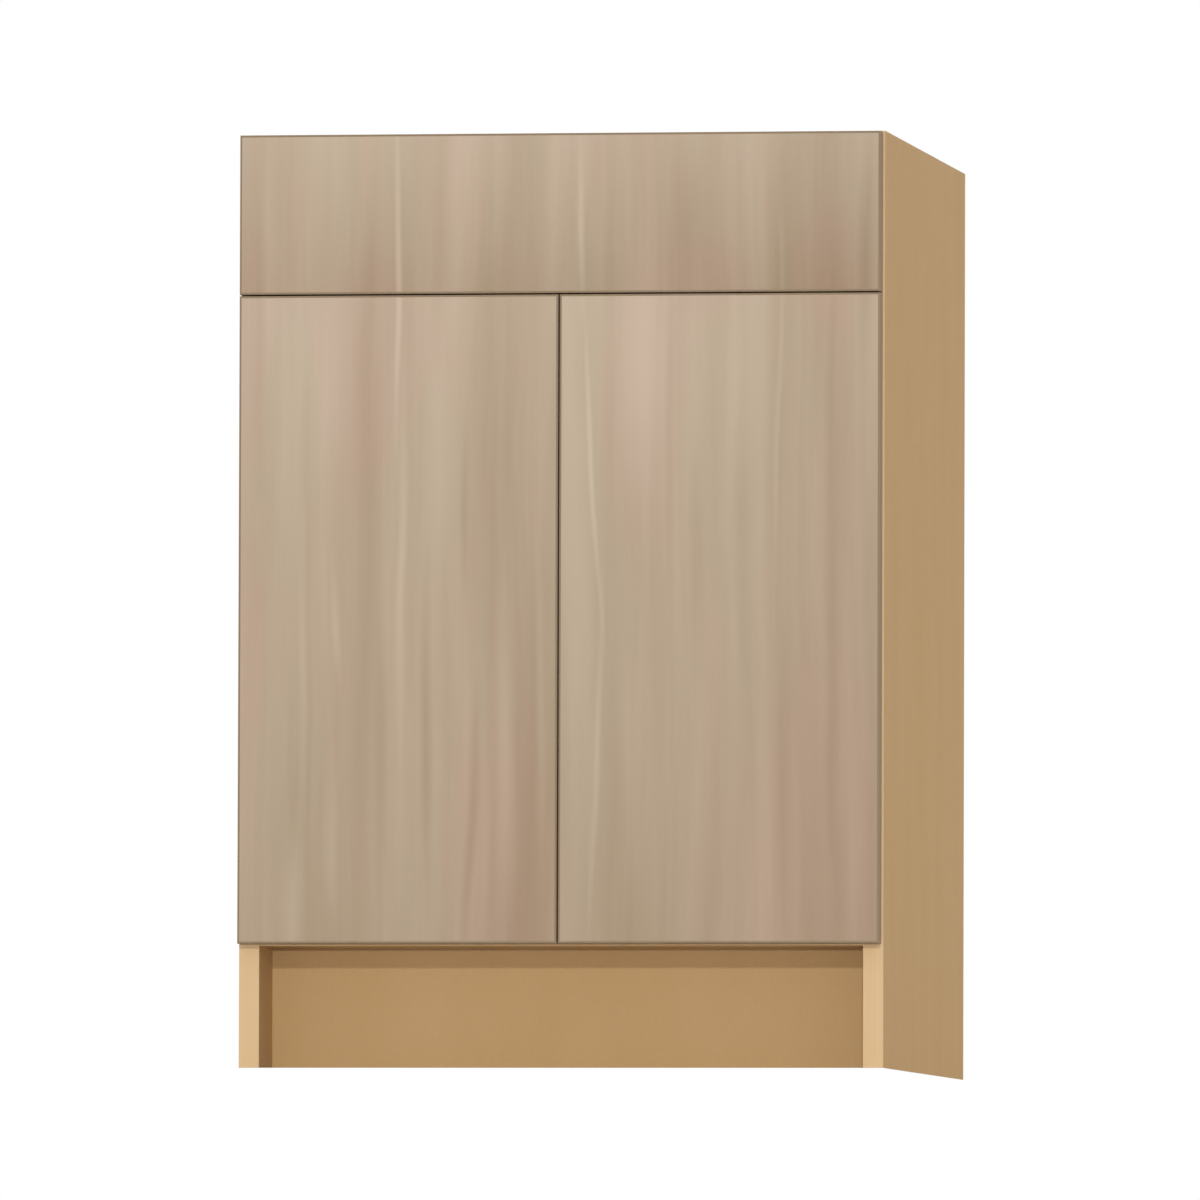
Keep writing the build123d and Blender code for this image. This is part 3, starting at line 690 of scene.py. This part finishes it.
class CABINET_OT_slides(bpy.types.Operator):
    """Finish the drawer slides and add their screws and balls"""

    bl_idname = "cabinet.slides"
    bl_label = "Slides"

    def execute(self, context):
        looks, sizes = context.scene.cabinet_finishes, context.scene.cabinet_hardware
        metal = zinc(looks)
        dress(metal, "slide_cabinet_members", "slide_intermediate_members", "slide_drawer_members")
        dress(metal, "slide_outer_ball_retainers", "slide_inner_ball_retainers")
        low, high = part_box("slide_cabinet_members")
        middle = (low.z + high.z) / 2
        drawer_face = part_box("drawer_right_side")[1].x + sizes.slide_steel
        case_face = high.x - sizes.slide_steel
        drawer_places = [low.y + back * MM for back in DRAWER_SCREWS]
        case_places = [low.y + CASE_SCREW_FRONT * MM] + [high.y - ahead * MM for ahead in CASE_SCREWS_REAR]
        drawer_spots, case_spots = [], []
        for side in SIDES.values():
            drawer_spots += [((side * drawer_face, y, middle), (side, 0, 0)) for y in drawer_places]
            case_spots += [((side * case_face, y, middle), (-side, 0, 0)) for y in case_places]
        head = screw_head(sizes.slide_head, sizes.slide_rise)
        set_screws("slide_drawer_screws", head, drawer_spots, "drawer", metal)
        flush = screw_head(sizes.slide_head, sizes.flush_rise)
        set_screws("slide_cabinet_screws", flush, case_spots, "cabinet", metal)
        cage = "slide_outer_ball_retainers"
        set_balls("slide_outer_balls", cage, sizes.outer_row, "outer_retainers", sizes, metal)
        cage = "slide_inner_ball_retainers"
        set_balls("slide_inner_balls", cage, sizes.inner_row, "inner_retainers", sizes, metal)
        return {"FINISHED"}


class CABINET_OT_pads(bpy.types.Operator):
    """Finish the soft pads behind the fronts"""

    bl_idname = "cabinet.pads"
    bl_label = "Pads"

    def execute(self, context):
        pads = soft_pad(context.scene.cabinet_finishes)
        dress(pads, "drawer_bumpers", "left_door_bumpers", "right_door_bumpers")
        return {"FINISHED"}


def seen_rays(tree):
    """One for the rays that show a background: straight from the camera, in metal or through glass."""
    rays = add(tree, "ShaderNodeLightPath").outputs
    either = add(tree, "ShaderNodeMath", (rays["Is Camera Ray"], rays["Is Glossy Ray"]), operation="MAXIMUM")
    return add(tree, "ShaderNodeMath", (either, rays["Is Transmission Ray"]), operation="MAXIMUM")


def floor_sheet(name, corners, depth, stage, clear_below):
    """Part of a plain pale floor, which shows white and still takes a shadow."""
    builder = bmesh.new()
    builder.faces.new([builder.verts.new((x, y, -depth)) for x, y in corners])
    sheet = made_object(name, builder)
    material = bpy.data.materials.new(f"Pale studio {name}")
    material.use_nodes = True
    tree = material.node_tree
    tree.nodes.clear()
    matt = add(tree, "ShaderNodeBsdfDiffuse", {"Color": stage.floor})
    white = add(tree, "ShaderNodeEmission", {"Color": WHITE, "Strength": 1.0})
    white_share = 0.8
    share = add(tree, "ShaderNodeMath", (seen_rays(tree), white_share), operation="MULTIPLY")
    above = add(tree, "ShaderNodeMixShader", (share, matt, white))
    from_below = add(tree, "ShaderNodeNewGeometry").outputs["Backfacing"]
    below = add(tree, "ShaderNodeBsdfTransparent") if clear_below else white
    mixed = add(tree, "ShaderNodeMixShader", (from_below, above, below))
    add(tree, "ShaderNodeOutputMaterial", {"Surface": mixed})
    sheet.data.materials.append(material)


def lay_floor(stage):
    """Floor that a camera below it looks up through, but not where the cabinet stands on it."""
    reach = 150
    wide = ((-reach, -reach), (reach, -reach), (reach, reach), (-reach, reach))
    # Both sheets lie a little below the cabinet, at depths that keep their faces apart
    wide_depth, footprint_depth = 0.3 * MM, 0.1 * MM
    floor_sheet("floor", wide, wide_depth, stage, clear_below=True)
    left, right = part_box("left_side_panel")[0].x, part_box("right_side_panel")[1].x
    front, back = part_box("side_panel_edge_bands")[0].y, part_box("left_side_panel")[1].y
    footprint = ((left, front), (right, front), (right, back), (left, back))
    floor_sheet("floor_under_cabinet", footprint, footprint_depth, stage, clear_below=False)


def light_world(stage):
    """Even light from all round, on a white background."""
    world = bpy.data.worlds.new("White studio")
    bpy.context.scene.world = world
    world.use_nodes = True
    tree = world.node_tree
    tree.nodes.clear()
    around = add(tree, "ShaderNodeBackground", {"Color": WHITE, "Strength": stage.fill})
    shown = add(tree, "ShaderNodeBackground", {"Color": WHITE, "Strength": 1.0})
    mixed = add(tree, "ShaderNodeMixShader", (seen_rays(tree), around, shown))
    add(tree, "ShaderNodeOutputWorld", {"Surface": mixed})


def hang_lamp(name, strength, azimuth, elevation, size):
    """Distant lamp, with its azimuth to the right of the front, elevation and size in degrees."""
    lamp = bpy.data.lights.new(name, "SUN")
    lamp.energy = strength
    lamp.angle = radians(size)
    holder = bpy.data.objects.new(name, lamp)
    bpy.context.scene.collection.objects.link(holder)
    turn, rise = radians(azimuth), radians(elevation)
    outward = Vector((sin(turn) * cos(rise), -cos(turn) * cos(rise), sin(rise)))
    holder.rotation_euler = outward.to_track_quat("Z", "Y").to_euler()


def place_camera(stage):
    """Long lens, far off, a little to the right and below the floor line."""
    camera = bpy.data.cameras.new("camera")
    camera.sensor_width = 36
    camera.lens = stage.lens
    # Past the far corner of the floor
    camera.clip_end = 400
    holder = bpy.data.objects.new("camera", camera)
    bpy.context.scene.collection.objects.link(holder)
    turn = stage.azimuth
    holder.location = (stage.distance * sin(turn), -stage.distance * cos(turn), stage.eye)
    turn += stage.pan
    ahead = Vector((-sin(turn) * cos(stage.tilt), cos(turn) * cos(stage.tilt), sin(stage.tilt)))
    aim = ahead.to_track_quat("-Z", "Y") @ Quaternion(Z, stage.roll)
    holder.rotation_euler = aim.to_euler()
    bpy.context.scene.camera = holder


class CABINET_OT_stage(bpy.types.Operator):
    """Set up the floor, the light and the camera"""

    bl_idname = "cabinet.stage"
    bl_label = "Stage"

    def execute(self, context):
        stage = context.scene.cabinet_stage
        context.scene.view_settings.view_transform = "Standard"
        lay_floor(stage)
        light_world(stage)
        hang_lamp("front_lamp", stage.front, azimuth=8, elevation=12, size=1.2)
        hang_lamp("low_front_lamp", stage.front, azimuth=8, elevation=2, size=1.2)
        hang_lamp("right_lamp", stage.around, azimuth=90, elevation=12, size=1.2)
        hang_lamp("left_lamp", stage.around, azimuth=-90, elevation=8, size=4)
        hang_lamp("rear_lamp", stage.around, azimuth=180, elevation=8, size=4)
        place_camera(stage)
        return {"FINISHED"}


OPERATORS = (
    CABINET_OT_fronts,
    CABINET_OT_carcass,
    CABINET_OT_drawer_box,
    CABINET_OT_hinges,
    CABINET_OT_slides,
    CABINET_OT_pads,
    CABINET_OT_stage,
)
GROUPS = {
    "cabinet_finishes": CabinetFinishes,
    "cabinet_hardware": CabinetHardware,
    "cabinet_stage": CabinetStage,
}


class CABINET_PT_looks(bpy.types.Panel):
    """Steps that dress the cabinet"""

    bl_label = "Cabinet"
    bl_space_type = "VIEW_3D"
    bl_region_type = "UI"
    bl_category = "Cabinet"

    def draw(self, context):
        for step in OPERATORS:
            self.layout.operator(step.bl_idname)
        for name, group in GROUPS.items():
            box = self.layout.box()
            for key in group.__annotations__:
                box.prop(getattr(context.scene, name), key)


def register():
    """Register the properties, the operators and the panel."""
    for name, group in GROUPS.items():
        bpy.utils.register_class(group)
        setattr(bpy.types.Scene, name, PointerProperty(type=group))
    for step in (*OPERATORS, CABINET_PT_looks):
        bpy.utils.register_class(step)


def unregister():
    """Take back what register added."""
    for step in (CABINET_PT_looks, *reversed(OPERATORS)):
        bpy.utils.unregister_class(step)
    for name, group in GROUPS.items():
        delattr(bpy.types.Scene, name)
        bpy.utils.unregister_class(group)


def main():
    """Dress the cabinet and set the stage."""
    register()
    bpy.ops.cabinet.fronts()
    bpy.ops.cabinet.carcass()
    bpy.ops.cabinet.drawer_box()
    bpy.ops.cabinet.hinges()
    bpy.ops.cabinet.slides()
    bpy.ops.cabinet.pads()
    bpy.ops.cabinet.stage()


if __name__ == "__main__":
    main()
